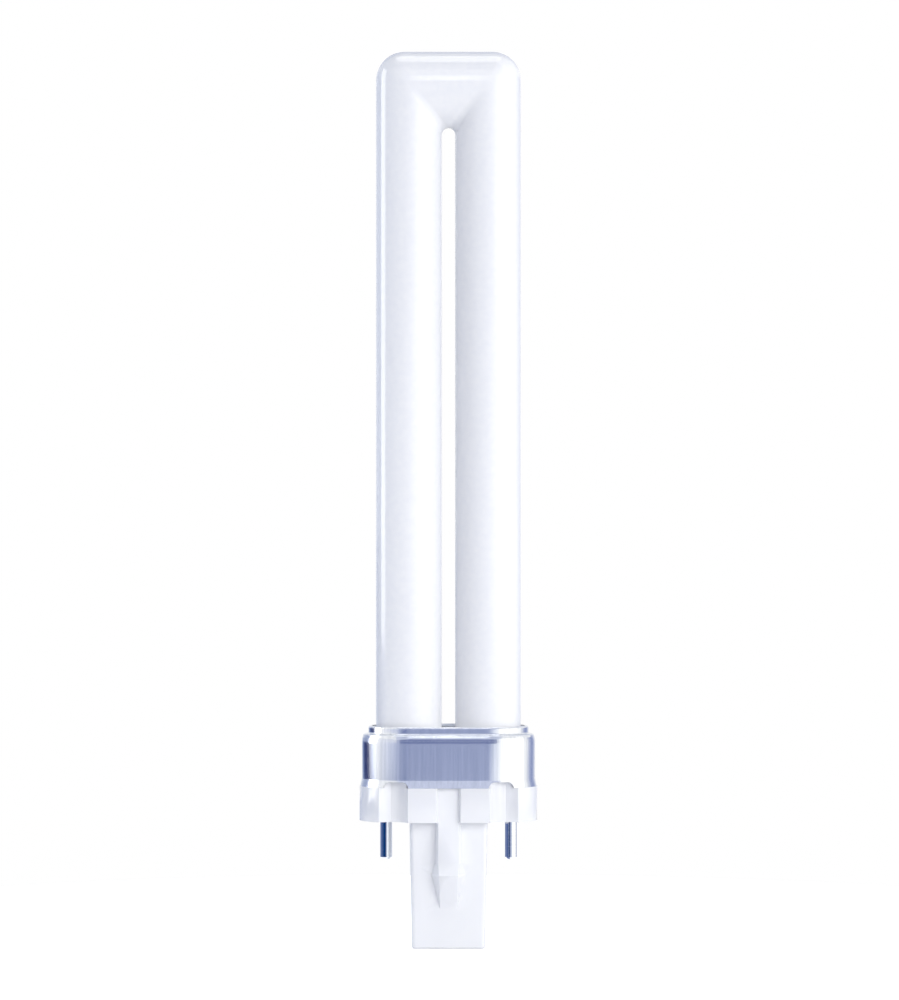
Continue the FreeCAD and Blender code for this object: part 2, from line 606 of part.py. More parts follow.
def glow_starter():
    """The starter's little glass bottle: round-bottomed, pressed flat at its neck, with two stiff leads."""
    body = new_body("glow_starter")
    blown = new_sketch(body, "bottle", "XY_Plane")
    draw_circle(blown, "0", "0", "Sizes.starter_diameter")
    glass = pad(body, "bottle_glass", blown, "Sizes.starter_height")
    round_edges(body, "bottle_ends", glass, "Sizes.starter_rounding",
                lambda edge: edge.BoundBox.ZLength < NEAR)
    neck = new_sketch(body, "bottle_neck", "XY_Plane", "Sizes.starter_height - Sizes.starter_neck")
    draw_outline(neck, rectangle("Sizes.starter_neck / 2", "Sizes.starter_neck_width"))
    pad(body, "neck_press", neck, "2 * Sizes.starter_neck")
    leads = new_sketch(body, "bottle_leads", "XY_Plane", "Sizes.starter_height")
    for side in ("-", ""):
        draw_circle(leads, "0", side + "Sizes.lead_pitch / 2", "Sizes.wire_diameter")
    pad(body, "lead_pair", leads, "Sizes.starter_neck + Sizes.lead_reach")
    bind(body, Placement__Base__x="Sizes.starter_place",
         Placement__Base__z="Sizes.base_wall + Sizes.fit_clearance")
    return body


def path_through(points, bend):
    """A wire of straight runs joined by tangent arcs of one radius."""
    edges = []
    start = points[0]
    for corner, after in zip(points[1:-1], points[2:]):
        into = (corner - start).normalize()
        out = (after - corner).normalize()
        half_turn = into.getAngle(out) / 2
        trim = bend * math.tan(half_turn)
        first, last = corner - into * trim, corner + out * trim
        bulge = (out - into).normalize()
        middle = corner + bulge * (bend / math.cos(half_turn) - bend)
        edges.append(Part.LineSegment(start, first).toShape())
        edges.append(Part.Arc(first, middle, last).toShape())
        start = last
    edges.append(Part.LineSegment(start, points[-1]).toShape())
    return Part.Wire(edges)


def bent_wire(label, points):
    """A round wire along a bent path, as a solid of its own."""
    path = path_through(points, size("Sizes.wire_bend"))
    heading = (points[1] - points[0]).normalize()
    ring = Part.Wire(Part.makeCircle(size("Sizes.wire_diameter / 2"), points[0], heading))
    wire = doc.addObject("Part::Feature", label)
    wire.Label = label
    wire.Shape = path.makePipeShell([ring], True, True)
    return wire


def lead_wires():
    """Four bare wires from the glass seals: the outer two to the pins, the inner two to the starter."""
    seal_end = size(SEAL_END)
    pin_top = size(PIN_TOP)
    starter_top = size(STARTER_TOP + " + Sizes.lead_reach")
    straight = size("Sizes.wire_start")
    place = size(TUBE_PLACE)
    split = size("Sizes.seal_wire_pitch / 2")
    made = []
    for name, side in (("left", -1), ("right", 1)):
        outer = VECTOR(side * (place + split), 0, seal_end)
        pin = VECTOR(side * size("Sizes.pin_spacing / 2"), 0, pin_top)
        made.append(bent_wire("pin_lead_" + name, [outer, outer - VECTOR(0, 0, straight),
                                                   pin + VECTOR(0, 0, straight), pin]))
        inner = VECTOR(side * (place - split), 0, seal_end)
        starter = VECTOR(size("Sizes.starter_place"), side * size("Sizes.lead_pitch / 2"), starter_top)
        made.append(bent_wire("starter_lead_" + name, [inner, inner - VECTOR(0, 0, straight),
                                                       starter + VECTOR(0, 0, straight), starter]))
    return made


def starter_capacitor():
    """The small dipped capacitor beside the bottle; its two legs bend over to the starter's leads."""
    body = new_body("starter_capacitor")
    case = new_sketch(body, "capacitor_case", "XY_Plane")
    draw_outline(case, rectangle("Sizes.capacitor_width", "Sizes.capacitor_depth"))
    block = pad(body, "capacitor_block", case, "Sizes.capacitor_height")
    round_edges(body, "capacitor_edges", block, "Sizes.capacitor_edge", lambda edge: True)
    rising = new_sketch(body, "capacitor_legs", "XY_Plane", "Sizes.capacitor_height / 2")
    crossing = new_sketch(body, "capacitor_feet", "YZ_Plane")
    reach = "%s + Sizes.lead_reach / 2 - Sizes.capacitor_foot" % STARTER_TOP
    for side in ("-", ""):
        draw_circle(rising, "0", side + "Sizes.lead_pitch / 2", "Sizes.wire_diameter")
        draw_circle(crossing, side + "Sizes.lead_pitch / 2", reach, "Sizes.wire_diameter")
    pad(body, "leg_rise", rising, reach + " - Sizes.capacitor_height / 2")
    gap = "Sizes.wire_diameter / 2 - Sizes.press_clearance"
    pad(body, "leg_cross", crossing, "Sizes.capacitor_place - Sizes.starter_place - " + gap, reverse=True)
    bind(body, Placement__Base__x="Sizes.capacitor_place", Placement__Base__z="Sizes.capacitor_foot")
    return body


PARTS = [discharge_tube(), cap_collar(), base_housing(),
         contact_pin("pin_left", -1), contact_pin("pin_right", 1),
         capping_cement(), glow_starter(), starter_capacitor()] + lead_wires()
doc.recompute()

for item in doc.Objects:
    if "Invalid" in item.State or "Error" in item.State:
        raise RuntimeError("%s is %s" % (item.Name, item.State))
for part in PARTS:
    if part.Shape.isNull() or not part.Shape.isValid() or len(part.Shape.Solids) != 1:
        raise RuntimeError(part.Label + " has no single sound solid")

os.makedirs("parts", exist_ok=True)
for part in PARTS:
    part.Shape.exportStep(os.path.join("parts", part.Label + ".step"))
    print("%-20s %9.1f mm3" % (part.Label, part.Shape.Volume))
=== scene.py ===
"""Dresses a U-shaped fluorescent lamp: coated glass, drawn collar, moulded base, pins and studio."""
import math

import bmesh
import bpy
import numpy as np
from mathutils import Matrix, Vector


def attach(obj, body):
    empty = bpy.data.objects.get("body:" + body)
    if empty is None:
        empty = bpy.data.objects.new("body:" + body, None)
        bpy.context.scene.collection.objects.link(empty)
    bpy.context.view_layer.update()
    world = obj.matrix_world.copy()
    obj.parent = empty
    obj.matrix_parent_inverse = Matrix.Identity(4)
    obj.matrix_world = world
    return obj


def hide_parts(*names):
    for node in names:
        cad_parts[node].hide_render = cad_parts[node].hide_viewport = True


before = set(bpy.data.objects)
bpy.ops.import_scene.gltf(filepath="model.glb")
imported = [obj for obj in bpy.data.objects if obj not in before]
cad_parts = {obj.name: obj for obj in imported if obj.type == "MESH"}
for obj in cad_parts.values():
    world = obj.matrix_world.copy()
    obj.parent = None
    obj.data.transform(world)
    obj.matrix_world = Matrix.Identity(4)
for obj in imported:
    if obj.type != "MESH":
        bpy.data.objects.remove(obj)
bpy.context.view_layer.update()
MM = 0.001


# The discharge tube is one piece of soft glass, bent to a U and pressed into a mould while hot, so
# that its bridge is nearly square outside and meets the legs in soft mitres. Its inside carries a
# white fired coat. Its feet are pinched flat round the lead wires.
TUBE_RADIUS = 6.1 * MM
LEG_PLACE = 7.3 * MM
SLOT_TOP_LEVEL = 149.7 * MM
BRIDGE_RISE = 9.2 * MM
KEEL_DROP = 8.0 * MM
CORNER_RADIUS = 5.3 * MM
CREASE_RADIUS = 0.9 * MM
SHOULDER_LEVEL = 35.8 * MM
SEAL_SHOULDER = 33.0 * MM
SEAL_END = 29.8 * MM
SEAL_HALF_WIDTH = 3.5 * MM
SEAL_HALF_THICKNESS = 1.3 * MM
CIRCLE_POWER = 2
SEAL_POWER = 5
ROUND_THE_TUBE = 144
OVER_THE_BRIDGE = 301
DOWN_THE_LEG = 12
DOWN_THE_SHOULDER = 14
NEARLY_NOUGHT = 1e-9


def add_item(name, data):
    """An object of this mesh, lamp or camera, linked to the scene at the origin."""
    item = bpy.data.objects.new(name, data)
    bpy.context.scene.collection.objects.link(item)
    return item


def add_skin(name, grid):
    """A closed skin over a grid of rings.

    A quad joins the points j and j + 1 of the ring i to those of the ring i + 1. One flat face closes
    the first ring and another the last.
    """
    rings, per_ring = grid.shape[:2]
    here = np.arange(rings * per_ring).reshape(rings, per_ring)
    after = np.roll(here, -1, axis=1)
    quads = np.stack([here[:-1], after[:-1], after[1:], here[1:]], axis=-1).reshape(-1, 4)
    ends = [here[0][::-1].tolist(), here[-1].tolist()]
    mesh = bpy.data.meshes.new(name)
    mesh.from_pydata(grid.reshape(-1, 3).tolist(), [], quads.tolist() + ends)
    mesh.validate()
    mesh.shade_smooth()
    return add_item(name, mesh)


def bent_tube_rings(turns, around):
    """Rings of the bridge, one in each plane that swings from leg to leg about the top of the slot.

    At the angle u round the tube, a leg's wall stands at leg place + r cos u from the slot's middle,
    and the bridge's lies at rise + h cos u above the slot's top, where h is r above the bridge's axis
    and the keel's drop below it. An arc joins the two: tight along the mitre's crease, where cos u is
    nought, and widening with its square to the corner radius outside and to the slot's round top
    inside. Each ring takes the distance at which its plane meets the wall, the arc or the bridge.
    """
    t, u = np.meshgrid(turns, around, indexing="ij")
    outward = np.cos(u)
    wall = LEG_PLACE + TUBE_RADIUS * outward
    roof = BRIDGE_RISE + np.where(outward > 0, TUBE_RADIUS, KEEL_DROP) * outward
    widest = np.where(outward > 0, CORNER_RADIUS, LEG_PLACE - TUBE_RADIUS)
    arc = CREASE_RADIUS + (widest - CREASE_RADIUS) * outward ** 2
    across, up = np.abs(np.cos(t)), np.sin(t)
    toward = (wall - arc) * across + (roof - arc) * up
    beyond = toward ** 2 - (wall - arc) ** 2 - (roof - arc) ** 2 + arc ** 2
    on_arc = toward + np.sqrt(np.maximum(beyond, 0))
    on_wall = (roof - arc) * across >= wall * up
    on_roof = (wall - arc) * up >= roof * across
    distance = np.where(on_wall, wall / np.maximum(across, NEARLY_NOUGHT),
                        np.where(on_roof, roof / np.maximum(up, NEARLY_NOUGHT), on_arc))
    x = -distance * np.cos(t)
    z = SLOT_TOP_LEVEL + distance * np.sin(t)
    return np.stack([x, TUBE_RADIUS * np.sin(u), z], axis=-1)


def leg_rings(side, levels, around):
    """Rings down one leg: round, then drawn in below the shoulder to the flat pinch of the seal.

    The half-widths ease from the tube's radius to the pinch's along a quarter wave, and the outline
    changes from a circle to a rounded oblong, as a superellipse whose power rises from 2 to 5.
    """
    z, u = np.meshgrid(levels, around, indexing="ij")
    ease = np.clip((SHOULDER_LEVEL - z) / (SHOULDER_LEVEL - SEAL_SHOULDER), 0, 1)
    pinch = 1 - np.sqrt(1 - ease ** 2)
    wide = TUBE_RADIUS + (SEAL_HALF_WIDTH - TUBE_RADIUS) * pinch
    thick = TUBE_RADIUS + (SEAL_HALF_THICKNESS - TUBE_RADIUS) * pinch
    power = 2 / (CIRCLE_POWER + (SEAL_POWER - CIRCLE_POWER) * pinch)
    across = np.sign(np.cos(u)) * np.abs(np.cos(u)) ** power
    deep = np.sign(np.sin(u)) * np.abs(np.sin(u)) ** power
    return np.stack([side * (LEG_PLACE + wide * across), thick * deep, z], axis=-1)


around = np.linspace(0, 2 * np.pi, ROUND_THE_TUBE, endpoint=False)
turns = np.linspace(0, np.pi, OVER_THE_BRIDGE)
quarter = np.linspace(0, np.pi / 2, DOWN_THE_SHOULDER)
down_leg = np.concatenate([np.linspace(SLOT_TOP_LEVEL, SHOULDER_LEVEL, DOWN_THE_LEG)[1:],
                           SHOULDER_LEVEL - (SHOULDER_LEVEL - SEAL_SHOULDER) * np.sin(quarter)[1:],
                           [SEAL_END]])
glass_grid = np.concatenate([leg_rings(-1, down_leg[::-1], around), bent_tube_rings(turns, around),
                             leg_rings(1, down_leg, around)])
glass = add_skin("glass_tube", glass_grid)


def new_material(name):
    """An empty node material; the section that asks for it fills it."""
    material = bpy.data.materials.new(name)
    material.use_nodes = True
    material.node_tree.nodes.clear()
    return material, material.node_tree.nodes, material.node_tree.links


def add_finish(nodes, links, **settings):
    """A Principled surface with its constant sockets set by name, joined to the output."""
    surface = nodes.new("ShaderNodeBsdfPrincipled")
    for socket, setting in settings.items():
        surface.inputs[socket.replace("_", " ")].default_value = setting
    out = nodes.new("ShaderNodeOutputMaterial")
    links.new(surface.outputs[0], out.inputs["Surface"])
    return surface


def add_noise(nodes, links, scale, detail=3.0, stretch=(1, 1, 1)):
    """Noise in the piece's own Object coordinates, per metre, squeezed along an axis by its factor."""
    where = nodes.new("ShaderNodeTexCoord")
    stretched = nodes.new("ShaderNodeMapping")
    stretched.inputs["Scale"].default_value = stretch
    links.new(where.outputs["Object"], stretched.inputs["Vector"])
    noise = nodes.new("ShaderNodeTexNoise")
    noise.inputs["Scale"].default_value = scale
    noise.inputs["Detail"].default_value = detail
    links.new(stretched.outputs["Vector"], noise.inputs["Vector"])
    return noise


NOISE_SPAN = (0.3, 0.7)


def tint(nodes, links, noise, surface, low, high):
    """Blends the surface's colour from low to high over the greys that noise mostly keeps to."""
    ramp = nodes.new("ShaderNodeValToRGB")
    for stop, position, colour in zip(ramp.color_ramp.elements, NOISE_SPAN, (low, high)):
        stop.position = position
        stop.color = (*colour, 1)
    links.new(noise.outputs["Fac"], ramp.inputs["Fac"])
    links.new(ramp.outputs["Color"], surface.inputs["Base Color"])


def emboss(nodes, links, noise, surface, depth, strength):
    """Turns noise into a fine relief, its depth in metres."""
    bump = nodes.new("ShaderNodeBump")
    bump.inputs["Distance"].default_value = depth
    bump.inputs["Strength"].default_value = strength
    links.new(noise.outputs["Fac"], bump.inputs["Height"])
    links.new(bump.outputs["Normal"], surface.inputs["Normal"])


material, nodes, links = new_material("fired_coat_under_glass")
surface = add_finish(nodes, links, Roughness=0.7, Specular_IOR_Level=0.0, Coat_Weight=1.0,
                     Coat_Roughness=0.07, Coat_IOR=1.5)
grains = add_noise(nodes, links, scale=900.0)
tint(nodes, links, grains, surface, low=(0.845, 0.855, 0.885), high=(0.875, 0.882, 0.90))
glass.data.materials.append(material)
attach(glass, "root")
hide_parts("discharge_tube")


# The collar is drawn from bright aluminium sheet: its rim is stepped in and curled over, its foot
# flares a little over the flange, and drawing has left faint upright lines in the metal. It is a copy
# of the solid, with the wall pressed in by a hair under the shoulder, where the tool held it.
PRESS_FOOT = 37.6 * MM
PRESS_DEEPEST = 38.8 * MM
PRESS_TOP = 39.3 * MM
PRESS_DEPTH = 0.11 * MM
PRESS_CUTS = 13
CUT_TOLERANCE = 0.0005 * MM
MERGE_DISTANCE = 0.002 * MM
END_CENTRE = 7.15 * MM
MIDDLE_OF_SHEET = 8.6 * MM
FLARE_TOP = 31.0 * MM
CREASE_TOLERANCE = 0.01 * MM
SHARP_ANGLE = math.radians(32)
LEAST_ROUGHNESS = 0.16
MOST_ROUGHNESS = 0.22


def merged_form(node):
    """The mesh of a CAD node with its doubled points merged, to be worked on."""
    form = bmesh.new()
    form.from_mesh(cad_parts[node].data)
    bmesh.ops.remove_doubles(form, verts=form.verts, dist=MERGE_DISTANCE)
    return form


def smooth_step(share):
    """3 e^2 - 2 e^3, where e is the share kept between nought and one."""
    ease = np.clip(share, 0, 1)
    return 3 * ease ** 2 - 2 * ease ** 3


def pressed_copy(node, name):
    """A copy of a CAD node whose outer wall is drawn in under its shoulder.

    The wall is cut level every tenth of a millimetre. A point further than the middle of the sheet
    from the line between the two round ends' centres moves towards that line by the depth times a
    smooth step up from the mark's foot to its deepest level and another down to its top. The crease
    at the top of the flared foot stays sharp.
    """
    form = merged_form(node)
    for level in np.linspace(PRESS_FOOT, PRESS_DEEPEST, PRESS_CUTS):
        everything = form.verts[:] + form.edges[:] + form.faces[:]
        bmesh.ops.bisect_plane(form, geom=everything, dist=CUT_TOLERANCE, plane_co=(0, 0, level),
                               plane_no=(0, 0, 1))
    mesh = bpy.data.meshes.new(name)
    form.to_mesh(mesh)
    form.free()
    points = np.empty(len(mesh.vertices) * 3)
    mesh.vertices.foreach_get("co", points)
    points = points.reshape(-1, 3)
    x, y, z = points.T
    away = np.stack([x - np.clip(x, -END_CENTRE, END_CENTRE), y], axis=1)
    distance = np.linalg.norm(away, axis=1)
    share = (smooth_step((z - PRESS_FOOT) / (PRESS_DEEPEST - PRESS_FOOT))
             * smooth_step((PRESS_TOP - z) / (PRESS_TOP - PRESS_DEEPEST))
             * (distance > MIDDLE_OF_SHEET))
    points[:, :2] -= away / np.maximum(distance, MM)[:, None] * (PRESS_DEPTH * share)[:, None]
    mesh.vertices.foreach_set("co", points.ravel())
    mesh.update()
    mesh.shade_smooth()
    mesh.set_sharp_from_angle(angle=SHARP_ANGLE)
    ends = np.empty(len(mesh.edges) * 2, dtype=np.int32)
    mesh.edges.foreach_get("vertices", ends)
    sharp = np.empty(len(mesh.edges), dtype=bool)
    mesh.edges.foreach_get("use_edge_sharp", sharp)
    at_crease = (np.abs(z[ends.reshape(-1, 2)] - FLARE_TOP) < CREASE_TOLERANCE).all(axis=1)
    mesh.edges.foreach_set("use_edge_sharp", sharp | at_crease)
    item = add_item(name, mesh)
    even = item.modifiers.new("even_shading", "WEIGHTED_NORMAL")
    even.keep_sharp = True
    return item


collar = pressed_copy("cap_collar", "pressed_collar")
material, nodes, links = new_material("drawn_aluminium")
surface = add_finish(nodes, links, Metallic=1.0)
lines = add_noise(nodes, links, scale=2600.0, detail=2.0, stretch=(1, 1, 0.03))
tint(nodes, links, lines, surface, low=(0.74, 0.765, 0.82), high=(0.84, 0.86, 0.90))
clouds = add_noise(nodes, links, scale=120.0)
rough = nodes.new("ShaderNodeMapRange")
rough.inputs["To Min"].default_value = LEAST_ROUGHNESS
rough.inputs["To Max"].default_value = MOST_ROUGHNESS
links.new(clouds.outputs["Fac"], rough.inputs["Value"])
links.new(rough.outputs["Result"], surface.inputs["Roughness"])
emboss(nodes, links, lines, surface, depth=0.004 * MM, strength=0.35)
collar.data.materials.append(material)
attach(collar, "root")
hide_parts("cap_collar")


# The base is one white moulding, satin from its mould, with its edges barely rounded: the flange with
# four finger recesses, the plug post, and on each broad face a key strip that ends in a latch tooth.
EDGE_ROUNDING = 0.18 * MM
FLAT_ANGLE = math.radians(1)


def softened_copy(node, name):
    """A copy of a CAD node with its sharp edges narrowly rounded."""
    form = merged_form(node)
    bmesh.ops.join_triangles(form, faces=form.faces, angle_face_threshold=FLAT_ANGLE,
                             angle_shape_threshold=math.pi)
    mesh = bpy.data.meshes.new(name)
    form.to_mesh(mesh)
    form.free()
    mesh.shade_smooth()
    item = add_item(name, mesh)
    bevel = item.modifiers.new("edges", "BEVEL")
    bevel.width = EDGE_ROUNDING
    bevel.segments = 2
    bevel.limit_method = "ANGLE"
    bevel.angle_limit = SHARP_ANGLE
    bevel.miter_outer = "MITER_ARC"
    bevel.harden_normals = True
    return item


moulding = softened_copy("base_housing", "moulded_base")
material, nodes, links = new_material("white_moulding")
surface = add_finish(nodes, links, Roughness=0.18, Specular_IOR_Level=0.75, Subsurface_Weight=0.15,
                     Subsurface_Radius=(0.0012, 0.0012, 0.0014), Subsurface_Scale=1.0)
clouds = add_noise(nodes, links, scale=150.0)
tint(nodes, links, clouds, surface, low=(0.83, 0.84, 0.87), high=(0.855, 0.865, 0.89))
skin = add_noise(nodes, links, scale=5000.0, detail=2.0)
emboss(nodes, links, skin, surface, depth=0.004 * MM, strength=0.25)
moulding.data.materials.append(material)
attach(moulding, "root")
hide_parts("base_housing")


# The contact pins are turned brass with a bright nickel plate: the lathe's fine rings show through it.
# Inside the flange their heads sit on the bosses.
material, nodes, links = new_material("nickel_plate")
surface = add_finish(nodes, links, Metallic=1.0, Roughness=0.07)
rings = add_noise(nodes, links, scale=9000.0, detail=2.0, stretch=(0.02, 0.02, 1))
tint(nodes, links, rings, surface, low=(0.76, 0.78, 0.81), high=(0.87, 0.89, 0.91))
emboss(nodes, links, rings, surface, depth=0.003 * MM, strength=0.3)
for pin in ("pin_left", "pin_right"):
    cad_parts[pin].material_slots[0].material = material


# The capping cement is a pale putty of resin and chalk, poured round the glass feet in the collar and
# baked hard. Its top shows between the legs.
material, nodes, links = new_material("capping_cement")
surface = add_finish(nodes, links, Roughness=0.9)
grit = add_noise(nodes, links, scale=1800.0, detail=5.0)
tint(nodes, links, grit, surface, low=(0.84, 0.84, 0.84), high=(0.92, 0.92, 0.92))
emboss(nodes, links, grit, surface, depth=0.05 * MM, strength=0.6)
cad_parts["capping_cement"].material_slots[0].material = material


# Inside the post stands the glow starter, a little bottle of clear glass with a smoky getter bloom,
# on its two leads.
material, nodes, links = new_material("bottle_glass")
surface = add_finish(nodes, links, Roughness=0.03, IOR=1.5, Transmission_Weight=0.85)
bloom = add_noise(nodes, links, scale=350.0)
tint(nodes, links, bloom, surface, low=(0.70, 0.74, 0.76), high=(0.93, 0.95, 0.95))
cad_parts["glow_starter"].material_slots[0].material = material


# The capacitor beside it is dipped in a glossy red-brown lacquer, whose skin is a little uneven. Its
# legs are joined to the starter's leads.
material, nodes, links = new_material("dipped_lacquer")
surface = add_finish(nodes, links, Roughness=0.22, IOR=1.52)
runs = add_noise(nodes, links, scale=500.0)
tint(nodes, links, runs, surface, low=(0.36, 0.09, 0.035), high=(0.50, 0.14, 0.05))
emboss(nodes, links, runs, surface, depth=0.05 * MM, strength=0.4)
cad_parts["starter_capacitor"].material_slots[0].material = material


# Four bare nickel-iron wires, dulled by the sealing flame, leave the glass seals: two for the pins and
# two for the starter.
material, nodes, links = new_material("bare_wire")
surface = add_finish(nodes, links, Metallic=1.0, Roughness=0.36)
scale = add_noise(nodes, links, scale=3000.0)
tint(nodes, links, scale, surface, low=(0.46, 0.44, 0.41), high=(0.64, 0.62, 0.59))
for wire in ("pin_lead_left", "pin_lead_right", "starter_lead_left", "starter_lead_right"):
    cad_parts[wire].material_slots[0].material = material


# The camera stands level with the middle of the glass, with a long lens not quite a metre off, as in
# the photograph. The long side of its picture takes in 184.6 mm at the lamp's middle plane.
CAMERA_DISTANCE = 0.85
EYE_LEVEL = 82.3 * MM
CAMERA_ASIDE = 0.18 * MM
PICTURE_HEIGHT = 184.6 * MM
SENSOR_HEIGHT = 36.0
camera = add_item("camera", bpy.data.cameras.new("camera"))
camera.location = (CAMERA_ASIDE, -CAMERA_DISTANCE, EYE_LEVEL)
camera.rotation_euler = (math.radians(90), 0, 0)
camera.data.sensor_width = SENSOR_HEIGHT
camera.data.lens = SENSOR_HEIGHT * CAMERA_DISTANCE / PICTURE_HEIGHT
bpy.context.scene.camera = camera
bpy.context.scene.view_settings.view_transform = "Standard"


# The lamp stands on a small round white table in a white room. The table's faint glow is for the
# camera, mirrors and clear glass, so that the shadow stays and the rest is as white as the
# photograph's ground.
def seen_directly(nodes, links, strength):
    """The strength for rays from the camera, off gloss or through glass, and nothing for the rest."""
    path = nodes.new("ShaderNodeLightPath")
    gloss = nodes.new("ShaderNodeMath")
    gloss.operation = "MAXIMUM"
    links.new(path.outputs["Is Camera Ray"], gloss.inputs[0])
    links.new(path.outputs["Is Glossy Ray"], gloss.inputs[1])
    through = nodes.new("ShaderNodeMath")
    through.operation = "MAXIMUM"
    links.new(gloss.outputs[0], through.inputs[0])
    links.new(path.outputs["Is Transmission Ray"], through.inputs[1])
    scaled = nodes.new("ShaderNodeMath")
    scaled.operation = "MULTIPLY"
    scaled.inputs[1].default_value = strength
    links.new(through.outputs[0], scaled.inputs[0])
    return scaled.outputs[0]


SKY_TINT = (0.82, 0.86, 1.0)
SKY_LEVEL = 0.53
room = bpy.data.worlds.new("white_room")
bpy.context.scene.world = room
room.use_nodes = True
nodes, links = room.node_tree.nodes, room.node_tree.links
nodes.clear()
ambient = nodes.new("ShaderNodeBackground")
ambient.inputs["Color"].default_value = (*SKY_TINT, 1)
ambient.inputs["Strength"].default_value = SKY_LEVEL
white = nodes.new("ShaderNodeBackground")
white.inputs["Color"].default_value = (1, 1, 1, 1)
mix = nodes.new("ShaderNodeMixShader")
links.new(seen_directly(nodes, links, 1.0), mix.inputs[0])
links.new(ambient.outputs[0], mix.inputs[1])
links.new(white.outputs[0], mix.inputs[2])
out = nodes.new("ShaderNodeOutputWorld")
links.new(mix.outputs[0], out.inputs["Surface"])

TABLE_RADIUS = 0.16
ROUND_THE_TABLE = 96
TABLE_WHITE = (0.85, 0.85, 0.86)
TABLE_GLOW = 0.50
edge = np.linspace(0, 2 * np.pi, ROUND_THE_TABLE, endpoint=False)
outline = np.stack([TABLE_RADIUS * np.cos(edge), TABLE_RADIUS * np.sin(edge), np.zeros_like(edge)],
                   axis=1)
table_mesh = bpy.data.meshes.new("table")
table_mesh.from_pydata(outline.tolist(), [], [tuple(range(ROUND_THE_TABLE))])
table = add_item("table", table_mesh)
material, nodes, links = new_material("table_white")
paper = nodes.new("ShaderNodeBsdfDiffuse")
paper.inputs["Color"].default_value = (*TABLE_WHITE, 1)
glow = nodes.new("ShaderNodeEmission")
links.new(seen_directly(nodes, links, TABLE_GLOW), glow.inputs["Strength"])
both = nodes.new("ShaderNodeAddShader")
links.new(paper.outputs[0], both.inputs[0])
links.new(glow.outputs[0], both.inputs[1])
out = nodes.new("ShaderNodeOutputMaterial")
links.new(both.outputs[0], out.inputs["Surface"])
table_mesh.materials.append(material)


# Round the lamp stand curved walls, and close by its pins two low screens, that only reflections see.
# Their greys are graded along their sweep and give metal and glass their dark lines at the sides and
# their soft blue middle. Azimuth nought is the camera's side and ninety degrees the lamp's right.
WALL_RADIUS = 1.6
WALL_GLOW = 1.5
WALL_POINTS = 65
BRIGHT_LEFT = (1.22, 1.21, 1.18)
BRIGHT_RIGHT = (1.38, 1.36, 1.30)
WHITE = (1.0, 1.0, 1.0)
FRONT_BLUE = (0.32, 0.37, 0.57)
DUSK_BLUE = (0.26, 0.31, 0.52)
NIGHT_BLUE = (0.003, 0.04, 0.17)


def for_reflections_only(item):
    """A piece of the studio that neither the camera nor the light on matt surfaces takes in."""
    item.visible_camera = False
    item.visible_diffuse = False
    item.visible_shadow = False


def add_wall(name, radius, foot, top, tones):
    """An upright arc of wall: the points (r sin a, -r cos a, z), with a the azimuth and z foot or top.

    Its tones are pairs of an azimuth in degrees and a colour, of which the wall's glow is the limit,
    and the wall blends from each to the next.
    """
    begin, finish = tones[0][0], tones[-1][0]
    sweep = np.radians(np.linspace(begin, finish, WALL_POINTS))
    ring = np.stack([np.sin(sweep), -np.cos(sweep)], axis=1) * radius
    points = np.concatenate([np.column_stack([ring, np.full(len(ring), level)])
                             for level in (foot, top)])
    low = np.arange(len(ring) - 1)
    faces = np.stack([low + 1, low, low + len(ring), low + len(ring) + 1], axis=1)
    mesh = bpy.data.meshes.new(name)
    mesh.from_pydata(points.tolist(), [], faces.tolist())
    material, nodes, links = new_material(name)
    where = nodes.new("ShaderNodeTexCoord")
    place = nodes.new("ShaderNodeSeparateXYZ")
    links.new(where.outputs["Object"], place.inputs[0])
    front = nodes.new("ShaderNodeMath")
    front.operation = "MULTIPLY"
    front.inputs[1].default_value = -1.0
    links.new(place.outputs["Y"], front.inputs[0])
    azimuth = nodes.new("ShaderNodeMath")
    azimuth.operation = "ARCTAN2"
    links.new(place.outputs["X"], azimuth.inputs[0])
    links.new(front.outputs[0], azimuth.inputs[1])
    along = nodes.new("ShaderNodeMapRange")
    along.inputs["From Min"].default_value = math.radians(begin)
    along.inputs["From Max"].default_value = math.radians(finish)
    links.new(azimuth.outputs[0], along.inputs["Value"])
    ramp = nodes.new("ShaderNodeValToRGB")
    stops = ramp.color_ramp.elements
    for angle, _ in tones[1:-1]:
        stops.new((angle - begin) / (finish - begin))
    for stop, (_, shade) in zip(stops, tones):
        stop.color = (*(part / WALL_GLOW for part in shade), 1)
    links.new(along.outputs["Result"], ramp.inputs["Fac"])
    matt = nodes.new("ShaderNodeEmission")
    matt.inputs["Strength"].default_value = WALL_GLOW
    links.new(ramp.outputs["Color"], matt.inputs["Color"])
    out = nodes.new("ShaderNodeOutputMaterial")
    links.new(matt.outputs[0], out.inputs["Surface"])
    mesh.materials.append(material)
    for_reflections_only(add_item(name, mesh))


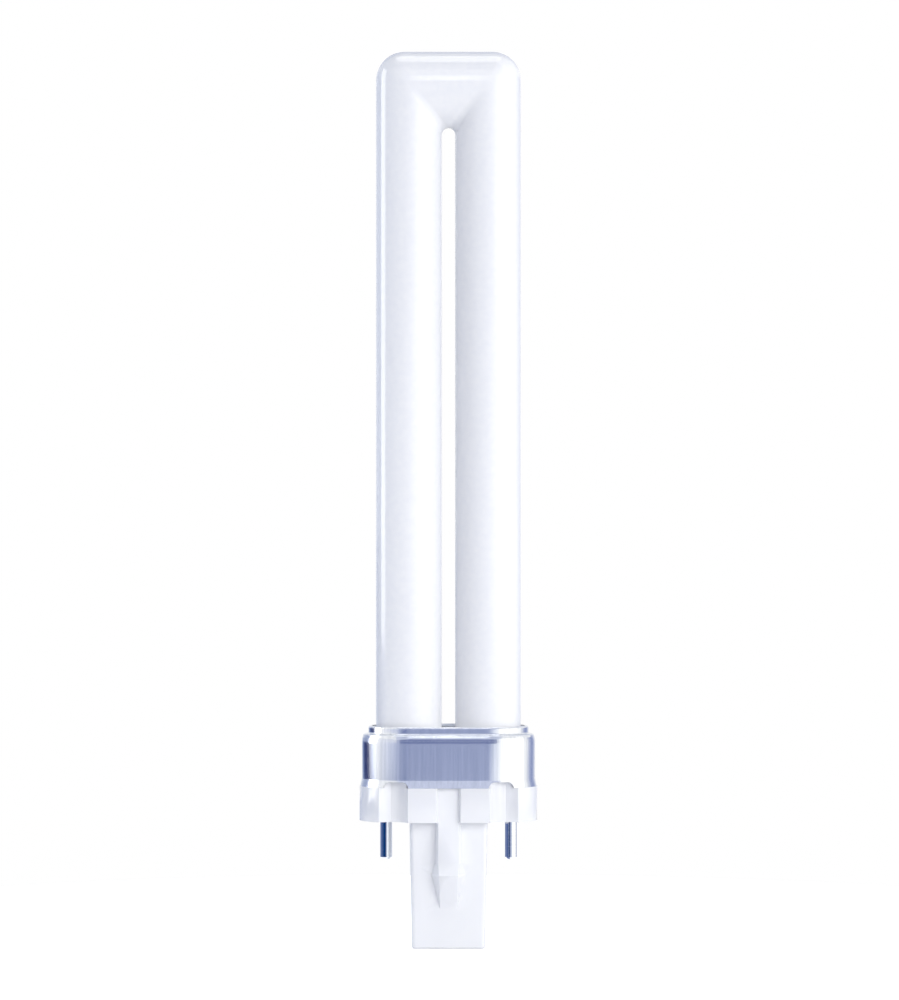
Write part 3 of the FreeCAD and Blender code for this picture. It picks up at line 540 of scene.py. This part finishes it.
add_wall("wall_left_low", WALL_RADIUS, foot=-0.6, top=0.06, tones=[
    (-160, (0.60, 0.66, 0.80)), (-147, (0.15, 0.22, 0.45)), (-136, (0.0, 0.01, 0.11)),
    (-111, (0.0, 0.01, 0.12)), (-104, (0.12, 0.17, 0.38)), (-97, (0.40, 0.46, 0.68)),
    (-91, (0.84, 0.88, 0.98)), (-86, BRIGHT_LEFT)])
add_wall("wall_left_high", WALL_RADIUS, foot=0.06, top=0.6, tones=[
    (-160, (0.80, 0.84, 0.92)), (-140, (0.42, 0.48, 0.66)), (-122, (0.26, 0.32, 0.52)),
    (-112, (0.40, 0.45, 0.62)), (-102, (0.85, 0.88, 0.95))])
add_wall("wall_front", WALL_RADIUS, foot=-0.6, top=0.36, tones=[
    (-86, BRIGHT_LEFT), (-79, (1.02, 1.02, 1.04)), (-71, (0.86, 0.88, 0.95)),
    (-48, (0.74, 0.78, 0.92)), (-26, (0.50, 0.55, 0.74)), (-14, (0.33, 0.38, 0.58)),
    (3, FRONT_BLUE)])
add_wall("wall_front_right", WALL_RADIUS, foot=-0.6, top=0.78, tones=[
    (3, FRONT_BLUE), (7, (0.50, 0.55, 0.74)), (13, (0.74, 0.79, 0.92)), (21, (0.92, 0.96, 1.05)),
    (36, BRIGHT_RIGHT), (92, BRIGHT_RIGHT), (108, WHITE)])
add_wall("wall_right", WALL_RADIUS, foot=-0.6, top=0.36, tones=[
    (108, WHITE), (124, (0.40, 0.45, 0.67)), (136, (0.26, 0.31, 0.53)), (150, (0.60, 0.65, 0.82)),
    (162, WHITE)])
add_wall("screen_for_the_pins", radius=0.1, foot=0.0, top=0.022, tones=[
    (-165, DUSK_BLUE), (-130, DUSK_BLUE), (-84, (0.07, 0.13, 0.31)), (-44, NIGHT_BLUE),
    (-13, NIGHT_BLUE), (-5, (0.75, 0.78, 0.88))])
# This dark screen stands in the shaded gap between the post and the right pin, and only reflections
# see it. It paints a dark reflection into the pin's inner side, where the pin would otherwise mirror
# the post.
add_wall("painted_dark_reflection_by_the_right_pin", radius=0.0088, foot=0.0, top=0.0225, tones=[
    (58, (0.02, 0.07, 0.22)), (75, (0.08, 0.13, 0.32)), (95, (0.22, 0.27, 0.48)),
    (122, (0.30, 0.35, 0.55))])


# Five softboxes light the lamp unmirrored: a key and two weaker ones at the right, a cool fill at the
# left and one behind. Three more are only mirrored: at the left, overhead, and a small one over the
# lens. Five cards, the darkest just above the camera, grade what the bends of glass and metal mirror.
WARM_WHITE = (1.0, 0.985, 0.94)
COOL_WHITE = (0.88, 0.93, 1.0)
MIDDLE_OF_GLASS = Vector((0, 0, EYE_LEVEL))


def way_to(azimuth, elevation):
    """The direction from the lamp at an azimuth and an elevation in degrees."""
    turn, lift = math.radians(azimuth), math.radians(elevation)
    return Vector((math.sin(turn) * math.cos(lift), -math.cos(turn) * math.cos(lift), math.sin(lift)))


def add_softbox(name, azimuth, elevation, distance, wide, high, level, mirrored=True, lighting=True,
                tone=WARM_WHITE):
    """A rectangular lamp turned to the middle of the glass; its level is how bright its face looks."""
    way = way_to(azimuth, elevation)
    softbox = add_item(name, bpy.data.lights.new(name, "AREA"))
    softbox.data.color = tone
    softbox.data.shape = "RECTANGLE"
    softbox.data.size = wide
    softbox.data.size_y = high
    softbox.data.energy = level * math.pi * wide * high
    softbox.location = way * distance + MIDDLE_OF_GLASS
    softbox.rotation_mode = "QUATERNION"
    softbox.rotation_quaternion = way.to_track_quat("Z", "Y")
    softbox.visible_camera = False
    softbox.visible_glossy = mirrored
    softbox.visible_diffuse = lighting


def add_card(name, azimuth, elevation, distance, wide, high, shade):
    """A flat card turned to the middle of the glass, of one glowing shade."""
    way = way_to(azimuth, elevation)
    aside = Vector((math.cos(math.radians(azimuth)), math.sin(math.radians(azimuth)), 0))
    middle = way * distance + MIDDLE_OF_GLASS
    half, rise = aside * wide / 2, aside.cross(way) * high / 2
    mesh = bpy.data.meshes.new(name)
    mesh.from_pydata([middle - half - rise, middle + half - rise, middle + half + rise,
                      middle - half + rise], [], [(0, 1, 2, 3)])
    material, nodes, links = new_material(name)
    matt = nodes.new("ShaderNodeEmission")
    matt.inputs["Color"].default_value = (*shade, 1)
    out = nodes.new("ShaderNodeOutputMaterial")
    links.new(matt.outputs[0], out.inputs["Surface"])
    mesh.materials.append(material)
    for_reflections_only(add_item(name, mesh))


add_softbox("key_right", azimuth=24, elevation=14, distance=1.3, wide=0.7, high=0.7, level=4.95,
            mirrored=False)
add_softbox("softbox_right_front", azimuth=44, elevation=2, distance=1.3, wide=0.95, high=1.4,
            level=1.3, mirrored=False)
add_softbox("softbox_right_side", azimuth=84, elevation=2, distance=1.3, wide=0.85, high=1.4,
            level=0.6, mirrored=False)
add_softbox("fill_left", azimuth=-108, elevation=2, distance=1.3, wide=1.0, high=1.4,
            level=2.2, mirrored=False, tone=COOL_WHITE)
add_softbox("fill_behind", azimuth=180, elevation=30, distance=1.3, wide=1.2, high=1.0,
            level=1.9, mirrored=False)
add_softbox("strip_left_high", azimuth=-101.5, elevation=13.7, distance=1.34, wide=0.54, high=0.80,
            level=4.0, lighting=False)
add_softbox("softbox_top", azimuth=180, elevation=81.5, distance=1.3, wide=0.8, high=0.7,
            level=2.3, lighting=False)
add_softbox("lit_card_over_the_lens", azimuth=0, elevation=36.1, distance=0.248, wide=0.016,
            high=0.062, level=2.35, lighting=False)
add_card("card_above_camera", azimuth=0, elevation=8.5, distance=1.5, wide=1.6, high=0.26,
         shade=(0.10, 0.14, 0.34))
add_card("card_for_the_lip", azimuth=0, elevation=19.5, distance=1.45, wide=1.6, high=0.32,
         shade=(0.72, 0.76, 0.92))
add_card("card_between", azimuth=0, elevation=36.5, distance=1.35, wide=1.6, high=0.56,
         shade=(0.60, 0.65, 0.80))
add_card("card_overhead", azimuth=0, elevation=66, distance=1.1, wide=1.2, high=0.5,
         shade=(0.24, 0.29, 0.46))
add_card("card_behind", azimuth=180, elevation=34, distance=1.2, wide=1.2, high=0.7,
         shade=(0.55, 0.60, 0.75))
